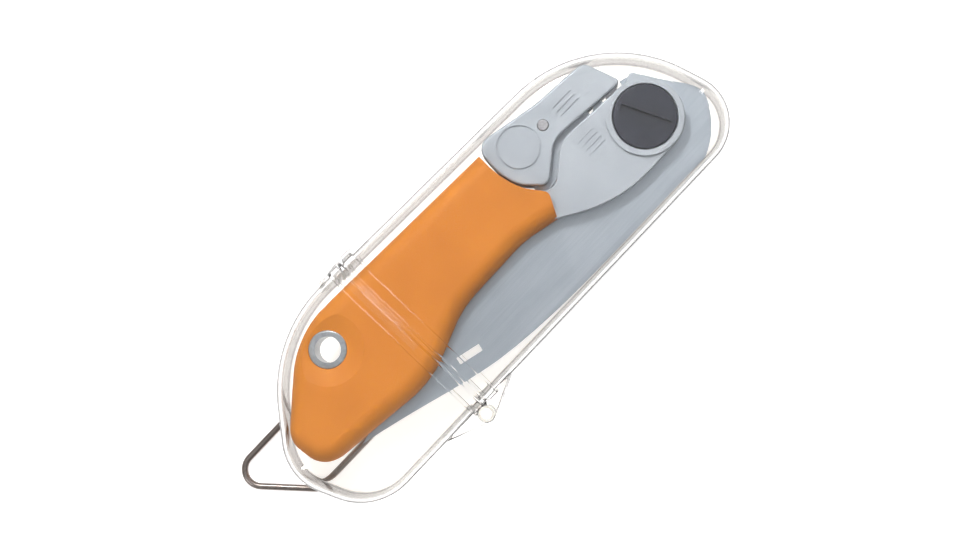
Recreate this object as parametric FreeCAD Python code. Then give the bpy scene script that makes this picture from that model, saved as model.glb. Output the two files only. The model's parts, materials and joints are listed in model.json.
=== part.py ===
"""Folding pocket saw, folded and stowed in its clear hinged belt case.

The saw lies flat. +X runs along the case towards the blade's pivot, +Y across it towards the
lock lever, and +Z up through its thickness. Every outline below is drawn about the blade's
pivot, and main() moves the finished pieces to their place. Millimetres.
"""
import FreeCAD, Part
import math
import os

V = FreeCAD.Vector

# Where the blade's pivot, at mid thickness, stands in the finished frame
PIVOT_X = 82.1
PIVOT_Y = -6.25
PIVOT_Z = 23.5

# Case: two clear shells that meet at a collar
CASE_HALF = 15.5          # half the case's thickness
CASE_WALL = 1.3
CASE_EDGE_R = 6.5         # round between the flat faces and the side wall
CASE_BOTTOM_Y = -27.1
COLLAR_PROUD = 1.3
BAND_EDGE_R = 0.5         # round on the rims of the bands and webs
LID_BAND = (-113.4, -109.0)
BODY_BANDS = [(-108.7, -107.3), (-106.7, -102.3)]
LIP_LENGTH = 3.0          # tongue of the body that reaches inside the lid
LIP_WALL = 0.8
LIP_GAP = 0.3
FLARE_INSET = 0.3         # how thin the lid's mouth is pared to make room for the lip
# Corners of the case's outline: x, y and the radius of its round
CASE_CORNERS = [(-160.4, CASE_BOTTOM_Y, 22.0), (-173.2, 3.8, 20.0), (-142.1, 41.4, 50.0),
                (11.2, 35.9, 49.0), (28.8, CASE_BOTTOM_Y, 17.0)]

# Case hinge
HINGE = (-110.2, -30.4)
KNUCKLE_R = 3.1
KNUCKLE_GAP = 0.3
LID_KNUCKLE_HALF = 4.0
BODY_KNUCKLE_END = 12.0
HINGE_PIN_R = 1.9
HINGE_PIN_BORE_R = 1.2
RUN = 0.05                # running clearance of a pin in its hole

# Case latch
LATCH_PIN = (-117.4, 42.6)
LATCH_PIN_R = 0.8
LATCH_EYE_R = 1.5
LATCH_EAR_R = 1.9
LATCH_EAR_T = 2.2
LATCH_HALF = 4.0

# Belt clip, a bail of round wire
WIRE_R = 1.2
WIRE_Z = -21.2            # middle of the wire, clear of the case's back by a belt's thickness
WIRE_UPPER_Y = 20.0
WIRE_LOWER_Y = -5.8
WIRE_LEFT_X = -193.6
WIRE_END_X = -34.0
WIRE_CORNER = [6.0, 4.7]  # rounds of the far end's two corners
WIRE_LEG_BEND = 2.8
WIRE_SLANT_X = -171.0     # where the lower leg meets the slanted end
WIRE_HOOK = 6.4           # how far each wire end turns inwards, into its lug
LUG_R = 2.3
LUG_T = 3.0
LUG_INSET = 3.1           # from a leg's line to its lug, past the wire's bend

# Saw
GRIP_HALF = 10.5
GRIP_EDGE_R = 6.0
FRAME_HALF = 7.0
TONGUE_HALF = 3.5
CORE_HALF = 7.6
SLOT_HALF = 1.0
BLADE_HALF = 0.7
MOUTH_HALF = 1.8          # slot in the rubber, wider than the frame's
LEVER_HOLLOW_HALF = 3.9
FRAME_EDGE_R = 0.4
# Corners of the frame's cheek, of its tongue inside the lever and of its core in the grip
CHEEK_CORNERS = [(-46.4, -1.6, 0), (-26.6, -13.7, 50.0), (13.4, -13.7, 12.8), (13.3, 4.0, 12.0),
                 (7.6, 14.4, 1.5), (4.7, 12.9, 0), (-25.8, 15.2, 12.0),
                 (-37.5, 6.0, 4.0), (-46.4, 8.2, 0)]
TONGUE_CORNERS = [(-43.2, 6.0, 0), (-43.6, 28.0, 3.0), (-26.0, 27.4, 30.0), (-13.6, 25.0, 2.0),
                  (-11.5, 12.0, 0)]
CORE_CORNERS = [(-45.0, 2.2, 0), (-84.0, 4.4, 40.0), (-112.0, -2.2, 40.0), (-145.5, -2.2, 8.0),
                (-155.0, 6.0, 6.0), (-151.0, 14.5, 8.0), (-131.0, 30.0, 20.0),
                (-50.6, 27.8, 0), (-50.6, 14.0, 0), (-45.0, 9.0, 0)]
SPACER_CORNERS = [(-52.0, 12.4, 0), (-90.0, 11.4, 80.0), (-125.0, 6.4, 80.0), (-152.0, 3.8, 0),
                  (-150.5, 13.0, 5.0), (-131.0, 29.0, 18.0), (-52.0, 26.5, 0)]
MOUTH_CORNERS = [(-40.0, 12.0, 0), (-90.0, 11.0, 80.0), (-125.0, 6.0, 80.0), (-153.0, 3.0, 0),
                 (-153.0, -12.0, 0), (-40.0, -12.0, 0)]
FRAME_RIVETS = [(-146.0, 8.0), (-105.0, 20.0), (-60.0, 20.0)]
FRAME_RIVET_R = 1.5
GRIP_CORNERS = [(-135.5, 35.6, 35.0), (-163.8, 12.4, 8.5), (-162.0, -3.6, 9.0),
                (-115.3, -9.2, 40.0), (-89.9, 0.4, 40.0), (-59.0, 0.9, 40.0),
                (-45.6, -2.2, 0), (-41.2, 6.0, 2.5), (-46.6, 13.6, 15.0),
                (-49.2, 23.0, 30.0), (-48.6, 32.0, 0)]

# Pivot of the blade
SCREW_HEAD_R = 11.0
SCREW_HEAD_Z = (5.6, 8.6)
SCREW_SHANK_R = 3.95
COIN_SLOT = (2.6, 1.4)    # width and depth
BOSS_R = 13.3
BOSS_Z = 8.1
SLEEVE_R = 5.95
NUT_R = 9.0
WASHER_R = 10.0
WASHER_T = 0.25

# Lock lever
LEVER_PIN = (-25.9, 23.3)
LEVER_PIN_R = 2.0
DOG_RIVET = (-7.4, 21.1)
DOG_RIVET_R = 1.5
THUMB = (-37.2, 23.8)     # middle of the ring pressed by the thumb
SPRING_SEAT = (-38.0, 19.0)
LEVER_CORNERS = [(-47.2, 35.6, 5.0), (-22.5, 30.1, 45.0), (-1.0, 28.5, 4.0), (3.4, 14.3, 1.2),
                 (-26.8, 17.2, 10.0), (-39.5, 7.6, 3.5), (-46.4, 15.0, 12.0),
                 (-48.4, 23.0, 20.0)]
LEVER_HOLLOW = [(-44.6, 4.0, 0), (-46.0, 31.0, 4.0), (-12.0, 26.2, 0), (-9.4, 22.0, 0),
                (-9.4, 4.0, 0)]

# Lanyard hole
LANYARD = (-131.7, 23.8)
LANYARD_R = 4.5
LANYARD_RING_R = 6.6

# Window near the blade's back
WINDOW = (-99.9, -12.0)
WINDOW_SIZE = (9.0, 2.5)
WINDOW_TURN = -14

# Blade teeth
TOOTH_PITCH = 3.2
TOOTH_DEPTH = 2.0
TOOTH_SIDE = [(-147.3, -6.6), (-110.0, 1.6), (-66.0, 8.4), (-14.0, 9.0)]   # tip to heel


def smooth_curve(points):
    """A smooth curve through the points."""
    curve = Part.BSplineCurve()
    curve.interpolate(Points=[V(x, y, 0) for x, y in points])
    return curve


def face(edges):
    return Part.Face(Part.Wire(Part.__sortEdges__(edges)))


def bent_path(corners, z=0):
    """Straight runs joined by tangent arcs: each corner is x, y and its round's radius."""
    points = [V(x, y, z) for x, y, _ in corners]
    edges = []
    here = points[0]
    for before, at, after, corner in zip(points, points[1:], points[2:], corners[1:]):
        radius = corner[2]
        if not radius:
            edges.append(Part.makeLine(here, at))
            here = at
            continue
        back = (before - at).normalize()
        ahead = (after - at).normalize()
        half = back.getAngle(ahead) / 2
        start = at + back * (radius / math.tan(half))
        end = at + ahead * (radius / math.tan(half))
        middle = at + (back + ahead).normalize() * (radius / math.sin(half) - radius)
        if here.distanceToPoint(start) > 1e-6:
            edges.append(Part.makeLine(here, start))
        edges.append(Part.Arc(start, middle, end).toShape())
        here = end
    if here.distanceToPoint(points[-1]) > 1e-6:
        edges.append(Part.makeLine(here, points[-1]))
    return edges


def outline(corners):
    """A closed face with rounded corners. It starts half way along its first side."""
    (x0, y0, _), (x1, y1, _) = corners[-1], corners[0]
    start = ((x0 + x1) / 2, (y0 + y1) / 2, 0)
    return Part.Face(Part.Wire(bent_path([start] + corners + [start])))


def polygon(points):
    return Part.Face(Part.makePolygon([V(x, y, 0) for x, y in points + points[:1]]))


def prism(flat, z0, z1):
    moved = flat.copy()
    moved.translate(V(0, 0, z0))
    return moved.extrude(V(0, 0, z1 - z0))


def rod(centre, radius, z0, z1):
    return Part.makeCylinder(radius, z1 - z0, V(*centre, z0))


def box(x0, x1, y0, y1, z0, z1):
    return Part.makeBox(x1 - x0, y1 - y0, z1 - z0, V(x0, y0, z0))


def rounded(solid, radius, keep):
    """Round the edges that keep() picks."""
    edges = [e for e in solid.Edges if keep(e)]
    return solid.makeFillet(radius, edges)


def at_height(*heights):
    """Pick the edges that lie flat at one of these heights."""
    def keep(edge):
        bounds = edge.BoundBox
        return bounds.ZLength < 1e-3 and any(abs(bounds.ZMin - z) < 1e-3 for z in heights)
    return keep


# ---------------------------------------------------------------- case

def case_block(inset):
    """The case's outer form, pulled in all round by inset."""
    flat = outline(CASE_CORNERS)
    if inset:
        flat = flat.makeOffset2D(-inset)
    half = CASE_HALF - inset
    solid = prism(flat, -half, half)
    return rounded(solid, CASE_EDGE_R - inset, at_height(-half, half))


def slab(x0, x1):
    return box(x0, x1, -60, 60, -40, 40)


def collar_band(span, inner):
    """One raised ring of the collar, its two rims rounded off."""
    band = case_block(-COLLAR_PROUD).common(slab(*span))
    rims = [e for e in band.Edges if e.BoundBox.XLength < 1e-3]
    return band.makeFillet(BAND_EDGE_R, rims).cut(inner)


def web(tip, wall, z0, z1):
    """A knuckle round the hinge pin, with the gusset that carries it: its free edge runs
    from the gusset's tip on the wall to touch the knuckle's underside."""
    dx = tip[0] - HINGE[0]
    dy = tip[1] - HINGE[1]
    side = 1 if dx < 0 else -1
    angle = math.atan2(dy, dx) + side * math.acos(KNUCKLE_R / math.hypot(dx, dy))
    touch = (HINGE[0] + KNUCKLE_R * math.cos(angle), HINGE[1] + KNUCKLE_R * math.sin(angle))
    gusset = polygon([tip, touch, HINGE] + wall)
    plain = rod(HINGE, KNUCKLE_R, z0, z1).fuse(prism(gusset, z0, z1)).removeSplitter()
    return rounded(plain, BAND_EDGE_R, at_height(z0, z1))


def hinge_eye(z0, z1):
    return rod(HINGE, HINGE_PIN_R + RUN, z0, z1)


def case_body(outer, inner):
    rim_x = BODY_BANDS[0][0]
    shell = outer.cut(inner).common(slab(rim_x, 60))
    for band in BODY_BANDS:
        shell = shell.fuse(collar_band(band, inner))
    lip_inset = FLARE_INSET + LIP_GAP
    lip = case_block(lip_inset).cut(case_block(lip_inset + LIP_WALL))
    shell = shell.fuse(lip.common(box(rim_x - LIP_LENGTH, rim_x + 1, 2, 60, -40, 40)))
    wall_y = CASE_BOTTOM_Y - COLLAR_PROUD
    for side in (-1, 1):
        z0, z1 = sorted((side * (LID_KNUCKLE_HALF + KNUCKLE_GAP), side * BODY_KNUCKLE_END))
        wall = [(rim_x + 0.6, wall_y - 0.4), (rim_x + 1.2, wall_y + 0.8),
                (-101.0, CASE_BOTTOM_Y + 0.5)]
        shell = shell.fuse(web((-94.4, CASE_BOTTOM_Y + 0.2), wall, z0, z1))
        shell = shell.cut(hinge_eye(z0 - 1, z1 + 1))
    for y, inward in ((WIRE_UPPER_Y, -1), (WIRE_LOWER_Y, 1)):
        y0, y1 = sorted((y + inward * LUG_INSET, y + inward * (LUG_INSET + LUG_T)))
        shell = shell.fuse(clip_lug(y0, y1))
    half = LID_KNUCKLE_HALF + KNUCKLE_GAP
    shell = shell.cut(rod(HINGE, KNUCKLE_R + KNUCKLE_GAP, -half, half))
    for x in (-88.0, -62.0):
        shell = shell.fuse(cradle_rib(x))
    return shell.fuse(catch_block())


def clip_lug(y0, y1):
    """An ear on the case's back that holds one end of the belt clip's wire."""
    back = -CASE_HALF
    ear = box(WIRE_END_X - LUG_R, WIRE_END_X + LUG_R, y0, y1, WIRE_Z, back + 0.5)
    ear = ear.fuse(Part.makeCylinder(LUG_R, y1 - y0, V(WIRE_END_X, y0, WIRE_Z), V(0, 1, 0)))
    bore = Part.makeCylinder(WIRE_R + RUN, y1 - y0 + 2, V(WIRE_END_X, y0 - 1, WIRE_Z),
                             V(0, 1, 0))
    return ear.cut(bore)


def cradle_rib(x):
    """A rib inside the back wall that the saw's grip lies on."""
    return box(x, x + 1.2, 4, 28, -CASE_HALF + 0.5, -GRIP_HALF)


def catch_block():
    """The step on the collar that the latch hooks over."""
    return box(-106.4, -103.4, 41.2, 42.5, -LATCH_HALF, LATCH_HALF)


def case_lid(outer, inner):
    x1 = LID_BAND[1]
    shell = outer.cut(inner).common(slab(-200, x1))
    flare = case_block(FLARE_INSET).common(slab(BODY_BANDS[0][0] - LIP_LENGTH - 0.6, x1))
    shell = shell.fuse(collar_band(LID_BAND, inner))
    shell = shell.cut(flare)
    for side in (-1, 1):
        z0, z1 = sorted((side * (LID_KNUCKLE_HALF - KNUCKLE_GAP),
                         side * (BODY_KNUCKLE_END + KNUCKLE_GAP)))
        shell = shell.cut(rod(HINGE, KNUCKLE_R + KNUCKLE_GAP, z0, z1))
    wall = [(-110.6, CASE_BOTTOM_Y - COLLAR_PROUD + 0.8), (-116.0, CASE_BOTTOM_Y + 0.5)]
    half = LID_KNUCKLE_HALF
    shell = shell.fuse(web((-127.3, CASE_BOTTOM_Y + 0.2), wall, -half, half))
    shell = shell.cut(hinge_eye(-half - 1, half + 1))
    x, y = LATCH_PIN
    for z0 in (LATCH_HALF + 0.3, -LATCH_HALF - 0.3 - LATCH_EAR_T):
        z1 = z0 + LATCH_EAR_T
        ear = rod(LATCH_PIN, LATCH_EAR_R, z0, z1)
        ear = ear.fuse(box(x - LATCH_EAR_R, x + LATCH_EAR_R, 39.9, y, z0, z1))
        shell = shell.fuse(ear.cut(rod(LATCH_PIN, LATCH_PIN_R, z0 - 1, z1 + 1)))
    return shell


def case_hinge_pin():
    """A tube rivet with a thin flared head at each end."""
    end = BODY_KNUCKLE_END
    tube = rod(HINGE, HINGE_PIN_R, -end - 0.5, end + 0.5)
    for z in (-end - 0.5, end + 0.1):
        tube = tube.fuse(rod(HINGE, HINGE_PIN_R + 0.5, z, z + 0.4))
    return tube.cut(rod(HINGE, HINGE_PIN_BORE_R, -end - 1, end + 1))


def case_latch():
    """Strip that crosses the collar, with an eye, a hook and a finger tab."""
    x, y = LATCH_PIN
    strip = [(x, y + 0.4), (-103.0, 43.6), (-95.6, 46.0), (-95.2, 45.0), (-101.8, 42.7),
             (-102.2, 42.9), (-103.2, 42.9), (-108.0, 42.75), (x, y - 0.7)]
    strip = prism(polygon(strip), -LATCH_HALF, LATCH_HALF)
    latch = strip.fuse(rod(LATCH_PIN, LATCH_EYE_R, -LATCH_HALF, LATCH_HALF))
    return latch.cut(rod(LATCH_PIN, LATCH_PIN_R + RUN, -LATCH_HALF - 1, LATCH_HALF + 1))


def latch_pin():
    return rod(LATCH_PIN, LATCH_PIN_R, -LATCH_HALF - 2.5, LATCH_HALF + 2.5)


def belt_clip_wire():
    """A bail bent from one wire: two legs, a slanted end, and both tips turned inwards."""
    tip_y = (WIRE_UPPER_Y - WIRE_HOOK, WIRE_LOWER_Y + WIRE_HOOK)
    corners = [(WIRE_END_X, tip_y[0], 0), (WIRE_END_X, WIRE_UPPER_Y, WIRE_LEG_BEND),
               (WIRE_LEFT_X, WIRE_UPPER_Y, WIRE_CORNER[0]),
               (WIRE_SLANT_X, WIRE_LOWER_Y, WIRE_CORNER[1]),
               (WIRE_END_X, WIRE_LOWER_Y, WIRE_LEG_BEND), (WIRE_END_X, tip_y[1], 0)]
    path = Part.Wire(bent_path(corners, WIRE_Z))
    section = Part.makeCircle(WIRE_R, V(WIRE_END_X, tip_y[0], WIRE_Z), V(0, 1, 0))
    return path.makePipeShell([Part.Wire(section)], True, False)


# ---------------------------------------------------------------- saw

def blade():
    """Steel blade: convex back, toothed edge inside the handle, broad tang at the pivot."""
    tip = TOOTH_SIDE[0]
    heel = TOOTH_SIDE[-1]
    back = smooth_curve([(4.4, -25.0), (-32.0, -24.7), (-68.8, -23.8), (-100.1, -19.4),
                         (-126.0, -12.2), (-140.0, -8.4), tip])
    crown = smooth_curve([heel, (-11.6, 13.6), (-7.5, 15.9), (-1.0, 15.6), (8.4, 13.0), (13.6, 5.4),
                          (19.4, -3.0), (20.9, -7.2), (17.6, -14.2), (11.0, -20.9),
                          (4.4, -25.0)])
    edge = smooth_curve(TOOTH_SIDE)
    flat = face([back.toShape(), edge.toShape(), crown.toShape()])
    solid = prism(flat, -BLADE_HALF, BLADE_HALF)
    length = edge.length()
    count = int((length - 10) / TOOTH_PITCH)
    gullets = []
    for i in range(3, count):
        u = edge.parameterAtDistance(i * TOOTH_PITCH)
        point = edge.value(u)
        along = edge.tangent(u)[0]
        across = V(-along.y, along.x, 0)
        corners = [point - along * TOOTH_PITCH * 0.48 + across * 0.3,
                   point + along * TOOTH_PITCH * 0.48 + across * 0.3,
                   point + along * TOOTH_PITCH * 0.1 - across * TOOTH_DEPTH]
        gullets.append(prism(polygon([(c.x, c.y) for c in corners]), -2, 2))
    solid = solid.cut(Part.makeCompound(gullets))
    solid = solid.cut(rod((0, 0), SLEEVE_R + RUN, -2, 2))
    solid = solid.cut(prism(polygon([(-5.4, 12.6), (3.0, 12.6), (4.0, 20), (-6.4, 20)]), -2, 2))
    length, width = WINDOW_SIZE
    window = box(-length / 2, length / 2, -width / 2, width / 2, -2, 2)
    window.rotate(V(0, 0, 0), V(0, 0, 1), WINDOW_TURN)
    window.translate(V(*WINDOW, 0))
    return solid.cut(window)


def frame_half(side):
    """One side of the handle's frame: cheek, the tongue inside the lever, and the core that
    the rubber grip is fitted over."""
    solid = prism(outline(CHEEK_CORNERS), SLOT_HALF, FRAME_HALF)
    solid = rounded(solid, FRAME_EDGE_R, at_height(FRAME_HALF))
    solid = solid.fuse(rod((0, 0), BOSS_R, FRAME_HALF - 2, BOSS_Z))
    solid = solid.fuse(prism(outline(TONGUE_CORNERS), SLOT_HALF, TONGUE_HALF))
    solid = solid.fuse(prism(outline(CORE_CORNERS), SLOT_HALF, CORE_HALF))
    solid = solid.cut(rod(LANYARD, LANYARD_RING_R - 1.2, 0, 20))
    solid = solid.cut(rod(LEVER_PIN, LEVER_PIN_R + RUN, 0, 20))
    for place in FRAME_RIVETS:
        solid = solid.cut(rod(place, FRAME_RIVET_R, 0, 20))
    solid = solid.cut(Part.makeCylinder(2.5, 20, V(*SPRING_SEAT, 0), V(0, 1, 0)))
    if side > 0:
        solid = solid.cut(rod((0, 0), SCREW_HEAD_R + 0.4, SCREW_HEAD_Z[0] - 0.1, 20))
        for step in range(4):
            y0 = 9.6 - step * 1.9
            solid = solid.cut(box(-22.5, -15.0, y0, y0 + 0.7, FRAME_HALF - 0.4, 20))
    else:
        solid = solid.cut(rod((0, 0), NUT_R + 0.2, SCREW_HEAD_Z[0], 20))
        solid = solid.mirror(V(0, 0, 0), V(0, 0, 1))
    solid = solid.cut(rod((0, 0), SLEEVE_R + 0.1, -20, 20))
    return solid.removeSplitter()


def frame_spacer():
    """The strip between the frame's halves, along the back of the handle."""
    solid = prism(outline(SPACER_CORNERS), -SLOT_HALF, SLOT_HALF)
    solid = solid.cut(rod(LANYARD, LANYARD_RING_R - 1.2, -5, 5))
    for place in FRAME_RIVETS:
        solid = solid.cut(rod(place, FRAME_RIVET_R, -5, 5))
    return solid


def frame_rivets():
    return Part.makeCompound([rod(p, FRAME_RIVET_R, -CORE_HALF, CORE_HALF) for p in FRAME_RIVETS])


def lanyard_bush():
    """A flanged metal ring that lines the lanyard hole."""
    tube = rod(LANYARD, LANYARD_RING_R - 1.2, -GRIP_HALF + 1.4, GRIP_HALF - 1.4)
    for z in (-GRIP_HALF + 1.4, GRIP_HALF - 2.4):
        tube = tube.fuse(rod(LANYARD, LANYARD_RING_R, z, z + 1.0))
    tube = rounded(tube, 0.4, at_height(-GRIP_HALF + 1.4, GRIP_HALF - 1.4))
    return tube.cut(rod(LANYARD, LANYARD_R, -20, 20))


def handle_grip(inside):
    """Rubber grip over the frame's core, open along the blade's slot."""
    solid = prism(outline(GRIP_CORNERS), -GRIP_HALF, GRIP_HALF)
    long_edges = [e for e in solid.Edges
                  if at_height(-GRIP_HALF, GRIP_HALF)(e) and e.BoundBox.XMax < -100]
    solid = solid.makeFillet(GRIP_EDGE_R, long_edges)
    for side in (-1, 1):
        apex = V(*LANYARD, side * (GRIP_HALF + 0.1))
        dish = Part.makeCone(13.0, LANYARD_RING_R + 0.2, 1.6, apex, V(0, 0, -side))
        solid = solid.cut(dish)
    solid = solid.cut(rod(LANYARD, LANYARD_RING_R, -20, 20))
    solid = solid.cut(prism(outline(MOUTH_CORNERS), -MOUTH_HALF, MOUTH_HALF))
    return solid.cut(Part.makeCompound(inside)).Solids[0]


def lock_lever():
    """Rocking lever: a channel that straddles the frame's tongue."""
    solid = prism(outline(LEVER_CORNERS), -FRAME_HALF, FRAME_HALF)
    solid = rounded(solid, 0.8, at_height(-FRAME_HALF, FRAME_HALF))
    solid = solid.cut(prism(outline(LEVER_HOLLOW), -LEVER_HOLLOW_HALF, LEVER_HOLLOW_HALF))
    solid = solid.cut(rod(LEVER_PIN, LEVER_PIN_R + RUN, -20, 20))
    solid = solid.cut(rod(DOG_RIVET, DOG_RIVET_R, -20, 20))
    solid = solid.cut(box(-9.5, 1.2, 10, 23.5, -0.9, 0.9))
    for side in (-1, 1):
        z0, z1 = sorted((side * (FRAME_HALF - 0.5), side * (FRAME_HALF + 1)))
        ring = rod(THUMB, 7.8, z0, z1).cut(rod(THUMB, 7.0, z0, z1))
        solid = solid.cut(ring)
        for step in range(3):
            y0 = 24.2 - step * 1.9
            solid = solid.cut(box(-19.5, -11.0, y0, y0 + 0.6, z0, z1))
    return solid.removeSplitter()


def lock_dog():
    """Steel dog inside the lever's nose, which drops into the notch of the tang."""
    flat = polygon([(-9.2, 23.2), (-9.2, 16.6), (-4.4, 16.6), (-3.9, 13.3), (1.0, 13.3),
                    (1.0, 23.2)])
    return prism(flat, -0.85, 0.85).cut(rod(DOG_RIVET, DOG_RIVET_R, -2, 2))


def dog_rivet():
    return rod(DOG_RIVET, DOG_RIVET_R, -FRAME_HALF - 0.2, FRAME_HALF + 0.2)


def lever_pin():
    pin = rod(LEVER_PIN, LEVER_PIN_R, -FRAME_HALF - 0.3, FRAME_HALF + 0.3)
    return rounded(pin, 0.4, at_height(-FRAME_HALF - 0.3, FRAME_HALF + 0.3))


def lever_spring():
    """Coil spring that pushes the lever's thumb end up."""
    turns, pitch, wire, radius = 5, 1.84, 0.35, 1.7
    helix = Part.makeHelix(pitch, turns * pitch, radius)
    section = Part.Wire(Part.makeCircle(wire, V(radius, 0, 0), V(0, 1, 0)))
    coil = Part.Wire(helix).makePipeShell([section], True, True)
    coil.rotate(V(0, 0, 0), V(1, 0, 0), -90)
    coil.translate(V(SPRING_SEAT[0], SPRING_SEAT[1] + wire + 0.05, 0))
    return coil


def pivot_screw():
    """Large-headed screw with a coin slot."""
    z0, z1 = SCREW_HEAD_Z
    head = rounded(rod((0, 0), SCREW_HEAD_R, z0, z1), 0.6, at_height(z1))
    width, depth = COIN_SLOT
    slot = box(-width / 2, width / 2, -9.0, 9.0, z1 - depth, z1 + 1)
    slot.rotate(V(0, 0, 0), V(0, 0, 1), 24)
    return head.cut(slot).fuse(rod((0, 0), SCREW_SHANK_R, -FRAME_HALF + 0.6, z0))


def pivot_nut():
    """Flanged sleeve that the blade turns on and the screw threads into."""
    sleeve = rod((0, 0), SLEEVE_R, -SCREW_HEAD_Z[0], SCREW_HEAD_Z[0] - 0.4)
    flange = rod((0, 0), NUT_R, -FRAME_HALF - 0.5, -SCREW_HEAD_Z[0])
    nut = sleeve.fuse(flange)
    for side in (-1, 1):
        y0, y1 = sorted((side * 8.2, side * 10))
        nut = nut.cut(box(-10, 10, y0, y1, -FRAME_HALF - 1, -SCREW_HEAD_Z[0]))
    return nut.cut(rod((0, 0), SCREW_SHANK_R + RUN, -20, 20))


def pivot_washer(side):
    z0, z1 = sorted((side * (SLOT_HALF - WASHER_T), side * SLOT_HALF))
    return rod((0, 0), WASHER_R, z0, z1).cut(rod((0, 0), SLEEVE_R, z0, z1))


def build():
    outer = case_block(0)
    inner = case_block(CASE_WALL)
    halves = [frame_half(1), frame_half(-1)]
    spacer = frame_spacer()
    rivets = frame_rivets()
    return {
        "case_body": case_body(outer, inner),
        "case_lid": case_lid(outer, inner),
        "case_hinge_pin": case_hinge_pin(),
        "case_latch": case_latch(),
        "latch_pin": latch_pin(),
        "belt_clip_wire": belt_clip_wire(),
        "blade": blade(),
        "frame_front": halves[0],
        "frame_back": halves[1],
        "frame_spacer": spacer,
        "frame_rivets": rivets,
        "lanyard_bush": lanyard_bush(),
        "handle_grip": handle_grip(halves + [spacer, rivets]),
        "lock_lever": lock_lever(),
        "lock_dog": lock_dog(),
        "dog_rivet": dog_rivet(),
        "lever_pin": lever_pin(),
        "lever_spring": lever_spring(),
        "pivot_screw": pivot_screw(),
        "pivot_nut": pivot_nut(),
        "pivot_washer_front": pivot_washer(1),
        "pivot_washer_back": pivot_washer(-1),
    }


def main():
    os.makedirs("parts", exist_ok=True)
    for name, shape in build().items():
        shape.translate(V(PIVOT_X, PIVOT_Y, PIVOT_Z))
        shape.exportStep(f"parts/{name}.step")
        print(name)


main()
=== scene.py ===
"""Looks of a folding pocket saw in its clear belt case. Metres, in the CAD frame."""

import json
import math

import bpy
from mathutils import Matrix, Vector


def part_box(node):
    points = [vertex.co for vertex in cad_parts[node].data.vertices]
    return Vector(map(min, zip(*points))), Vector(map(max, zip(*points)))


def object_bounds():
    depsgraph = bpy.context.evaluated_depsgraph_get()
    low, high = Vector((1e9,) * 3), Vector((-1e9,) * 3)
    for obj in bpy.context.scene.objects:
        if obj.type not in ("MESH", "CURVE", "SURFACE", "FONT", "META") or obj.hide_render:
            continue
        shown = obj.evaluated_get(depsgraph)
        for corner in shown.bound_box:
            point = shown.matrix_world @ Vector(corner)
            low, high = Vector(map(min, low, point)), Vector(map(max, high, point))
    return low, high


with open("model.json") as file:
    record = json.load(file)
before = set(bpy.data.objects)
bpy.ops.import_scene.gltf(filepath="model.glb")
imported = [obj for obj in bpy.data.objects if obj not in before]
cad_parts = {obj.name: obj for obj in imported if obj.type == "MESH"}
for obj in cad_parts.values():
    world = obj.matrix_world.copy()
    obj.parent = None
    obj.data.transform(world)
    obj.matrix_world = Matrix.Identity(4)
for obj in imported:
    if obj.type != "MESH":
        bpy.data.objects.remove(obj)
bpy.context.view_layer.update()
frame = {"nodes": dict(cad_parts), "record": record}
NODES = frame["nodes"]

# Floor
FLOOR_SIZE = 6.0
FLOOR_GAP = 0.0004            # how far the floor lies below the belt clip's lugs
FLOOR_GLOW = 0.75             # emission that keeps the floor near white

# Lamps: place, size and power in watts
KEY = ((0.22, 0.42, 0.72), 0.12, 3.6)
FILL = ((0.5, -0.3, 1.2), 1.2, 1.0)
STRIP_X = 0.8                 # one strip this far out on each side
STRIP_Y = 0.1
STRIP_HEIGHT = 0.75
STRIP_WIDTH = 0.05
STRIP_LENGTH = 0.5
STRIP_POWER = 1.3
WORLD_STRENGTH = 0.42

# Camera: looks down on the tool, which lies across the picture at a slant
SLANT = math.radians(46.6)
TILT = 0.05                   # lean of the camera towards -Y, as a slope
DISTANCE = 0.8
LENS_MM = 85.9
AIM_FROM_SCREW = Vector((-0.0756, 0.0018, 0))


def ends(corners):
    """A box's two corners as vectors."""
    low, high = corners
    return Vector(low), Vector(high)


# ---------------------------------------------------------------- materials

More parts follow.
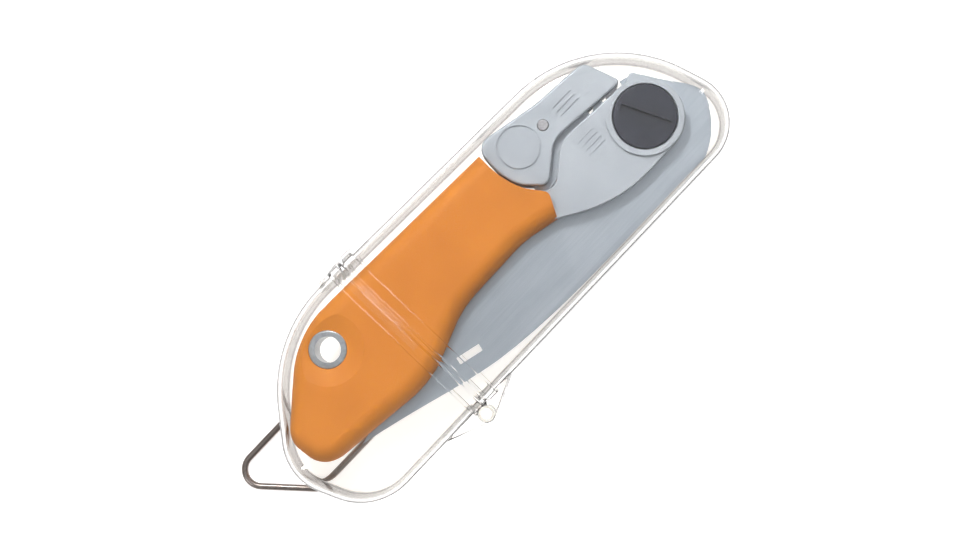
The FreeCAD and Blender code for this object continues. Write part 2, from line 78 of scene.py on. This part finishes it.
class Paint:
    """A material on one Principled shader, built node by node."""

    def __init__(self, name):
        self.material = bpy.data.materials.new(name)
        self.material.use_nodes = True
        self.tree = self.material.node_tree
        self.shader = self.tree.nodes["Principled BSDF"]
        self.output = self.tree.nodes["Material Output"]
        self.where = self.node("ShaderNodeTexCoord").outputs["Object"]

    def node(self, kind, **settings):
        made = self.tree.nodes.new(kind)
        for key, value in settings.items():
            setattr(made, key, value)
        return made

    def link(self, source, target):
        self.tree.links.new(source, target)

    def drive(self, **sources):
        """Link outputs to the shader's sockets of these names."""
        for name, source in sources.items():
            self.link(source, self.shader.inputs[name.replace("_", " ")])

    def set(self, **values):
        """Put constants on the shader's sockets of these names."""
        for name, value in values.items():
            self.shader.inputs[name.replace("_", " ")].default_value = value

    def stretched(self, scale, turn):
        """The place on the object, scaled and turned about Z, for grain that runs one way."""
        mapping = self.node("ShaderNodeMapping")
        mapping.inputs["Scale"].default_value = scale
        mapping.inputs["Rotation"].default_value = (0, 0, math.radians(turn))
        self.link(self.where, mapping.inputs["Vector"])
        return mapping.outputs["Vector"]

    def noise(self, scale, detail, vector=None, roughness=0.5):
        made = self.node("ShaderNodeTexNoise")
        made.inputs["Scale"].default_value = scale
        made.inputs["Detail"].default_value = detail
        made.inputs["Roughness"].default_value = roughness
        self.link(vector or self.where, made.inputs["Vector"])
        return made.outputs["Fac"]

    def ramp(self, value, stops):
        """Colours or greys at places from 0 to 1."""
        made = self.node("ShaderNodeValToRGB")
        points = made.color_ramp.elements
        while len(points) < len(stops):
            points.new(0.5)
        for point, (place, colour) in zip(points, stops):
            point.position = place
            point.color = (*colour, 1) if isinstance(colour, tuple) else (colour,) * 3 + (1,)
        self.link(value, made.inputs["Fac"])
        return made.outputs["Color"]

    def span(self, value, low, high):
        """A value from 0..1 carried to low..high."""
        made = self.node("ShaderNodeMapRange")
        made.inputs["To Min"].default_value = low
        made.inputs["To Max"].default_value = high
        self.link(value, made.inputs["Value"])
        return made.outputs["Result"]

    def add(self, first, second):
        made = self.node("ShaderNodeMath", operation="ADD")
        self.link(first, made.inputs[0])
        self.link(second, made.inputs[1])
        return made.outputs[0]

    def bump(self, height, distance, strength):
        made = self.node("ShaderNodeBump")
        made.inputs["Strength"].default_value = strength
        made.inputs["Distance"].default_value = distance
        self.link(height, made.inputs["Height"])
        self.drive(Normal=made.outputs["Normal"])


def srgb(*values):
    """Linear colour from sRGB values of 0 to 255."""
    return tuple(((v / 255 + 0.055) / 1.055) ** 2.4 for v in values)


def rubber():
    """Orange rubber with a fine matt grain."""
    paint = Paint("orange_rubber")
    cloud = paint.noise(scale=38, detail=2)
    colour = paint.ramp(cloud, [(0.3, srgb(180, 107, 22)), (0.7, srgb(193, 118, 30))])
    grain = paint.noise(scale=2600, detail=2)
    paint.drive(Base_Color=colour, Roughness=paint.span(grain, low=0.5, high=0.68))
    paint.bump(grain, distance=0.00006, strength=0.5)
    paint.set(Specular_IOR_Level=0.25)
    return paint.material


def cast_alloy():
    """Blue grey painted casting, satin."""
    paint = Paint("cast_alloy")
    cloud = paint.noise(scale=60, detail=3)
    colour = paint.ramp(cloud, [(0.3, srgb(154, 161, 170)), (0.7, srgb(163, 170, 179))])
    grain = paint.noise(scale=1500, detail=3)
    paint.drive(Base_Color=colour, Roughness=paint.span(grain, low=0.34, high=0.48))
    paint.bump(grain, distance=0.00004, strength=0.35)
    paint.set(Metallic=0.2, Specular_IOR_Level=0.4)
    return paint.material


def brushed(name, dark, light, scale, turn=0.0):
    """Metal with a fine grain that runs one way."""
    paint = Paint(name)
    streaks = paint.noise(1.0, detail=4, vector=paint.stretched(scale, turn), roughness=0.6)
    cloud = paint.noise(scale=45, detail=2)
    both = paint.add(paint.span(streaks, low=0, high=0.65), paint.span(cloud, low=0, high=0.35))
    colour = paint.ramp(both, [(0.3, dark), (0.7, light)])
    paint.drive(Base_Color=colour, Roughness=paint.span(streaks, low=0.26, high=0.4))
    paint.bump(streaks, distance=0.00002, strength=0.3)
    paint.set(Metallic=1.0)
    return paint.material


def black_metal():
    """Blackened steel with turning marks round the pivot."""
    paint = Paint("black_metal")
    low, high = ends(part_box("pivot_screw"))
    shift = paint.node("ShaderNodeVectorMath", operation="SUBTRACT")
    shift.inputs[1].default_value = (low + high) / 2
    paint.link(paint.where, shift.inputs[0])
    rings = paint.node("ShaderNodeTexWave", wave_type="RINGS", rings_direction="Z")
    rings.inputs["Scale"].default_value = 520
    rings.inputs["Distortion"].default_value = 0.6
    paint.link(shift.outputs[0], rings.inputs["Vector"])
    marks = rings.outputs["Fac"]
    cloud = paint.noise(scale=90, detail=3)
    colour = paint.ramp(cloud, [(0.3, srgb(26, 30, 42)), (0.75, srgb(36, 40, 54))])
    paint.drive(Base_Color=colour, Roughness=paint.span(marks, low=0.34, high=0.46))
    paint.bump(marks, distance=0.000004, strength=0.15)
    paint.set(Metallic=0.0, Specular_IOR_Level=0.3)
    return paint.material


def clear_plastic():
    """Clear moulded plastic: bends what is behind it, and lets the lamps' light through."""
    paint = Paint("clear_plastic")
    paint.bump(paint.noise(scale=55, detail=1), distance=0.0002, strength=0.12)
    speck = paint.noise(scale=900, detail=2)
    edge = paint.node("ShaderNodeLayerWeight")
    edge.inputs["Blend"].default_value = 0.5
    # painted shade: the plastic turns warm grey, then dark, where it is seen edge-on, standing
    # in for the case's dark edge lines
    painted_edge_shade = paint.ramp(edge.outputs["Facing"], [(0.3, srgb(253, 252, 250)),
                                               (0.55, srgb(196, 192, 190)),
                                               (0.8, srgb(88, 84, 84))])
    paint.drive(Base_Color=painted_edge_shade, Roughness=paint.span(speck, low=0.0, high=0.05))
    paint.set(Transmission_Weight=1.0, IOR=1.46)
    clear = paint.node("ShaderNodeBsdfTransparent")
    clear.inputs["Color"].default_value = (*srgb(250, 250, 249), 1)
    light_path = paint.node("ShaderNodeLightPath")
    mix = paint.node("ShaderNodeMixShader")
    paint.link(light_path.outputs["Is Shadow Ray"], mix.inputs["Fac"])
    paint.link(paint.shader.outputs["BSDF"], mix.inputs[1])
    paint.link(clear.outputs["BSDF"], mix.inputs[2])
    paint.link(mix.outputs["Shader"], paint.output.inputs["Surface"])
    return paint.material


FINISHES = {
    "orange_rubber": rubber(),
    "cast_alloy": cast_alloy(),
    "blade_steel": brushed("blade_steel", srgb(172, 182, 194), srgb(186, 195, 206),
                           scale=(60, 1500, 1500), turn=8),
    "wire_steel": brushed("wire_steel", srgb(120, 110, 106), srgb(168, 158, 152),
                          scale=(120, 2500, 2500)),
    "pin_steel": brushed("pin_steel", srgb(150, 150, 156), srgb(196, 196, 202),
                         scale=(1800, 1800, 200)),
    "ring_metal": brushed("ring_metal", srgb(150, 156, 164), srgb(190, 196, 204),
                          scale=(900, 900, 900)),
    "black_metal": black_metal(),
    "clear_plastic": clear_plastic(),
}

SLOT_OF = {row["node"]: row["material_slot"] for row in frame["record"]["subparts"]}
for name, piece in NODES.items():
    piece.data.materials.clear()
    piece.data.materials.append(FINISHES[SLOT_OF[name]])


# ---------------------------------------------------------------- floor, light, camera

def lay_floor(level):
    """A plain pale floor."""
    bpy.ops.mesh.primitive_plane_add(size=FLOOR_SIZE, location=(0, 0, level))
    floor = bpy.context.object
    floor.name = "floor"
    paint = Paint("pale_floor")
    fleck = paint.noise(scale=8, detail=2)
    paint.drive(Base_Color=paint.ramp(fleck, [(0.2, 0.93), (0.8, 0.95)]))
    paint.set(Roughness=0.9, Specular_IOR_Level=0.1, Emission_Strength=FLOOR_GLOW,
              Emission_Color=(1, 1, 1, 1))
    floor.data.materials.append(paint.material)


def lamp(name, aim, place, size, power, length=0.0):
    """A round lamp, or a strip of that length along Y."""
    data = bpy.data.lights.new(name, "AREA")
    data.shape = "RECTANGLE" if length else "DISK"
    data.size = size
    data.size_y = length or size
    data.energy = power
    made = bpy.data.objects.new(name, data)
    made.location = place
    made.rotation_euler = (aim - Vector(place)).to_track_quat("-Z", "Y").to_euler()
    bpy.context.scene.collection.objects.link(made)


def studio_world():
    """A sky that is dark at the horizon and white overhead."""
    world = bpy.data.worlds.new("studio")
    world.use_nodes = True
    nodes = world.node_tree.nodes
    sky = nodes.new("ShaderNodeTexGradient")
    direction = nodes.new("ShaderNodeTexCoord")
    tilt = nodes.new("ShaderNodeMapping")
    tilt.inputs["Rotation"].default_value = (0, math.radians(90), 0)
    shade = nodes.new("ShaderNodeValToRGB")
    for point, (place, grey) in zip(shade.color_ramp.elements, ((0.1, 0.05), (0.75, 1.0))):
        point.position = place
        point.color = (grey, grey, grey, 1)
    background = nodes["Background"]
    background.inputs["Strength"].default_value = WORLD_STRENGTH
    for source, target in ((direction.outputs["Generated"], tilt.inputs["Vector"]),
                           (tilt.outputs["Vector"], sky.inputs["Vector"]),
                           (sky.outputs["Fac"], shade.inputs["Fac"]),
                           (shade.outputs["Color"], background.inputs["Color"])):
        world.node_tree.links.new(source, target)
    bpy.context.scene.world = world


def aim_camera():
    """A camera above the tool, aimed at a place measured from the pivot screw."""
    data = bpy.data.cameras.new("camera")
    data.lens = LENS_MM
    camera = bpy.data.objects.new("camera", data)
    toward = Vector((0, -TILT, 1)).normalized()
    right = Vector((math.cos(SLANT), -math.sin(SLANT), 0))
    right = (right - right.dot(toward) * toward).normalized()
    turn = Matrix((right, toward.cross(right), toward)).transposed()
    low, high = ends(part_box("pivot_screw"))
    target = (low + high) / 2 + AIM_FROM_SCREW
    camera.matrix_world = Matrix.Translation(target + toward * DISTANCE) @ turn.to_4x4()
    bpy.context.scene.collection.objects.link(camera)
    bpy.context.scene.camera = camera


lowest, highest = ends(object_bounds())
middle = (lowest + highest) / 2
lay_floor(lowest.z - FLOOR_GAP)
lamp("key", middle, *KEY)
lamp("fill", middle, *FILL)
for side in (-1, 1):
    lamp("strip", middle, (STRIP_X * side, STRIP_Y, STRIP_HEIGHT), STRIP_WIDTH, STRIP_POWER,
         length=STRIP_LENGTH)
studio_world()
aim_camera()
bpy.context.scene.view_settings.view_transform = "Standard"
